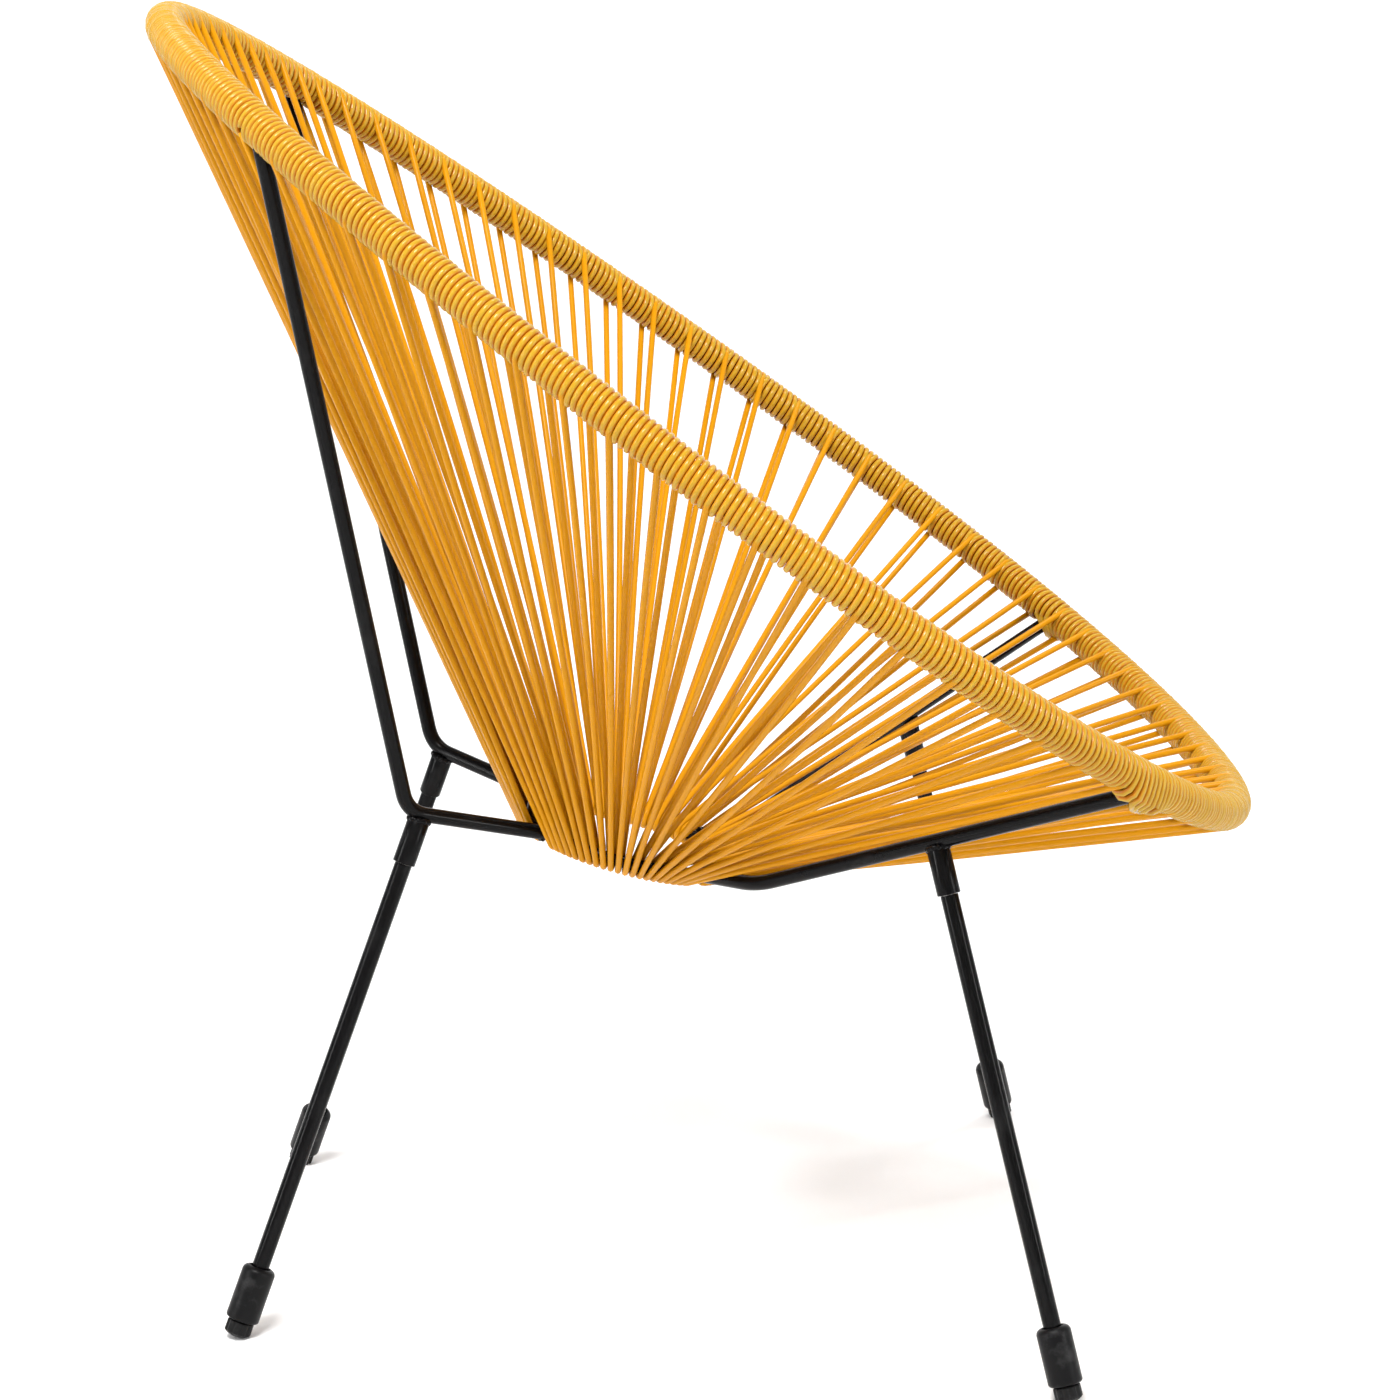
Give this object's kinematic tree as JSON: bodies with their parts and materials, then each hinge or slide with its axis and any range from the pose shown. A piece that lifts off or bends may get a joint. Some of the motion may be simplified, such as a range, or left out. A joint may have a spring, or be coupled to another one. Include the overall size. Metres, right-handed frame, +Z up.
{
  "type": "acapulco chair",
  "caption": "Acapulco chair with a tilted egg-shaped rim, radiating yellow plastic cord seat, black steel rod frame and four legs on screw levelling feet.",
  "frame": {"origin": "on the floor, in the middle of the chair's outline", "axes": "+X to the front of the chair, +Y to the sitter's left, +Z up"},
  "size_m": [0.7216, 0.7313, 0.8518],
  "materials": {
    "yellow_cord": "smooth glossy vinyl",
    "frame_black": "gloss powder coat",
    "ferrule_black": "semi-matte moulding",
    "glide_black": "fluted moulding",
    "thread_steel": "zinc plated thread"
  },
  "bodies": {
    "chair": {"rim_tube": "frame_black", "base_ring": "frame_black", "front_rod_left": "frame_black", "rear_rod_left": "frame_black", "rear_rod_right": "frame_black", "front_rod_right": "frame_black", "leg_socket_front_left": "frame_black", "leg_tube_front_left": "frame_black", "leg_stud_front_left": "thread_steel", "ferrule_front_left": "ferrule_black", "threaded_insert_front_left": "thread_steel", "leg_socket_rear_left": "frame_black", "leg_tube_rear_left": "frame_black", "leg_stud_rear_left": "thread_steel", "ferrule_rear_left": "ferrule_black", "threaded_insert_rear_left": "thread_steel", "leg_socket_rear_right": "frame_black", "leg_tube_rear_right": "frame_black", "leg_stud_rear_right": "thread_steel", "ferrule_rear_right": "ferrule_black", "threaded_insert_rear_right": "thread_steel", "leg_socket_front_right": "frame_black", "leg_tube_front_right": "frame_black", "leg_stud_front_right": "thread_steel", "ferrule_front_right": "ferrule_black", "threaded_insert_front_right": "thread_steel", "seat_cord_front_1": "yellow_cord", "seat_cord_front_2": "yellow_cord", "seat_cord_front_3": "yellow_cord", "seat_cord_left_1": "yellow_cord", "seat_cord_left_2": "yellow_cord", "seat_cord_left_3": "yellow_cord", "seat_cord_rear_1": "yellow_cord", "seat_cord_rear_2": "yellow_cord", "seat_cord_rear_3": "yellow_cord", "seat_cord_right_1": "yellow_cord", "seat_cord_right_2": "yellow_cord", "seat_cord_right_3": "yellow_cord", "rim_winding_left_1": "yellow_cord", "rim_winding_left_2": "yellow_cord", "rim_winding_right_1": "yellow_cord", "rim_winding_right_2": "yellow_cord"},
    "stem_front_left": {"leveller_stem_front_left": "thread_steel"},
    "glide_front_left": {"leveller_glide_front_left": "glide_black"},
    "stem_rear_left": {"leveller_stem_rear_left": "thread_steel"},
    "glide_rear_left": {"leveller_glide_rear_left": "glide_black"},
    "stem_rear_right": {"leveller_stem_rear_right": "thread_steel"},
    "glide_rear_right": {"leveller_glide_rear_right": "glide_black"},
    "stem_front_right": {"leveller_stem_front_right": "thread_steel"},
    "glide_front_right": {"leveller_glide_front_right": "glide_black"}
  },
  "joints": [
    {"name": "extend_front_left", "type": "slide", "parent": "chair", "child": "stem_front_left", "axis": [0.2276, 0.2438, -0.9427], "range_m": [0, 0.0075]},
    {"name": "turn_front_left", "type": "hinge", "parent": "stem_front_left", "child": "glide_front_left", "pos_m": [0.2241, 0.2733, 0], "axis": [0.2276, 0.2438, -0.9427], "range_deg": [0, 2160]},
    {"name": "extend_rear_left", "type": "slide", "parent": "chair", "child": "stem_rear_left", "axis": [-0.3354, 0.2094, -0.9185], "range_m": [0, 0.0075]},
    {"name": "turn_rear_left", "type": "hinge", "parent": "stem_rear_left", "child": "glide_rear_left", "pos_m": [-0.3089, 0.1685, 0], "axis": [-0.3354, 0.2094, -0.9185], "range_deg": [0, 2160]},
    {"name": "extend_rear_right", "type": "slide", "parent": "chair", "child": "stem_rear_right", "axis": [-0.3354, -0.2094, -0.9185], "range_m": [0, 0.0075]},
    {"name": "turn_rear_right", "type": "hinge", "parent": "stem_rear_right", "child": "glide_rear_right", "pos_m": [-0.3089, -0.1685, 0], "axis": [-0.3354, -0.2094, -0.9185], "range_deg": [0, 2160]},
    {"name": "extend_front_right", "type": "slide", "parent": "chair", "child": "stem_front_right", "axis": [0.2276, -0.2438, -0.9427], "range_m": [0, 0.0075]},
    {"name": "turn_front_right", "type": "hinge", "parent": "stem_front_right", "child": "glide_front_right", "pos_m": [0.2241, -0.2733, 0], "axis": [0.2276, -0.2438, -0.9427], "range_deg": [0, 2160]}
  ],
  "couplings": [
    {"joint": "turn_front_left", "follows": "extend_front_left", "rad_per_m": 5026.5},
    {"joint": "turn_rear_left", "follows": "extend_rear_left", "rad_per_m": 5026.5},
    {"joint": "turn_rear_right", "follows": "extend_rear_right", "rad_per_m": 5026.5},
    {"joint": "turn_front_right", "follows": "extend_front_right", "rad_per_m": 5026.5}
  ]
}
